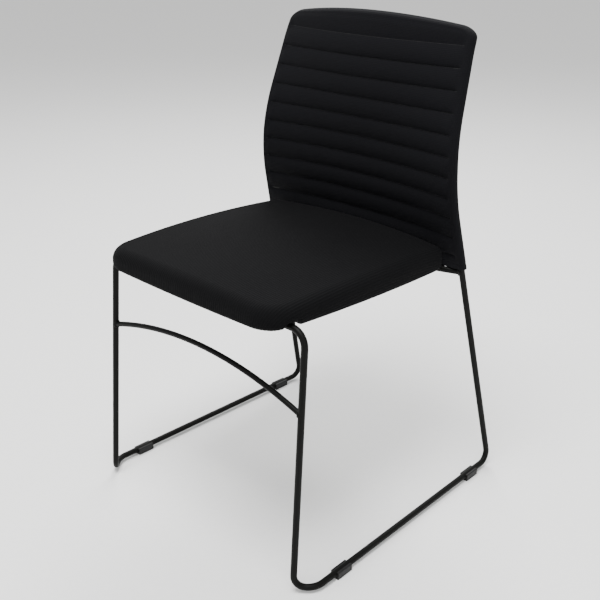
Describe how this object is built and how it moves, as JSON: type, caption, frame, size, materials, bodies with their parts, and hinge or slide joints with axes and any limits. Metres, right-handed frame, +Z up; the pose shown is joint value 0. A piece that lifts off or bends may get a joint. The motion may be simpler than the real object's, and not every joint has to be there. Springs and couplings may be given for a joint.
{
  "type": "stacking chair",
  "caption": "Black stacking chair: bent-rod sled base with a bowed front stretcher, padded fabric seat, and a channel-stitched padded back over the uprights.",
  "frame": {"origin": "on the floor, under the middle of the chair's bounding box", "axes": "+Z up, the sitter faces -Y, +X is the sitter's left"},
  "size_m": [0.5396, 0.5352, 0.831],
  "materials": {
    "frame": "black powder coat, satin",
    "glide": "moulded black nylon",
    "ply": "raw plywood",
    "foam": "cut grey foam",
    "seat_fabric": "black fine-rib knit",
    "back_fabric": "black mesh knit, channel-stitched",
    "lining": "black non-woven sheet",
    "zinc": "zinc-plated",
    "shell": "moulded black polypropylene"
  },
  "bodies": {
    "root": {"side_rod_left": "frame", "side_rod_right": "frame", "front_stretcher": "frame", "rear_seat_rail": "frame", "frame_welds": "frame", "front_tab_left": "frame", "front_tab_right": "frame", "rear_bracket_left": "frame", "rear_bracket_right": "frame", "upright_cap_left": "glide", "upright_cap_right": "glide", "glide_front_left": "glide", "glide_front_right": "glide", "glide_rear_left": "glide", "glide_rear_right": "glide", "seat_pan": "ply", "seat_foam": "foam", "seat_cover": "seat_fabric", "seat_underlining": "lining", "seat_tee_nuts": "zinc", "seat_washers": "zinc", "seat_screws": "zinc", "back_panel": "shell", "back_foam_front": "foam", "back_foam_rear": "foam", "back_cover": "back_fabric", "back_clips": "shell", "back_hem_strip": "shell"}
  },
  "joints": []
}
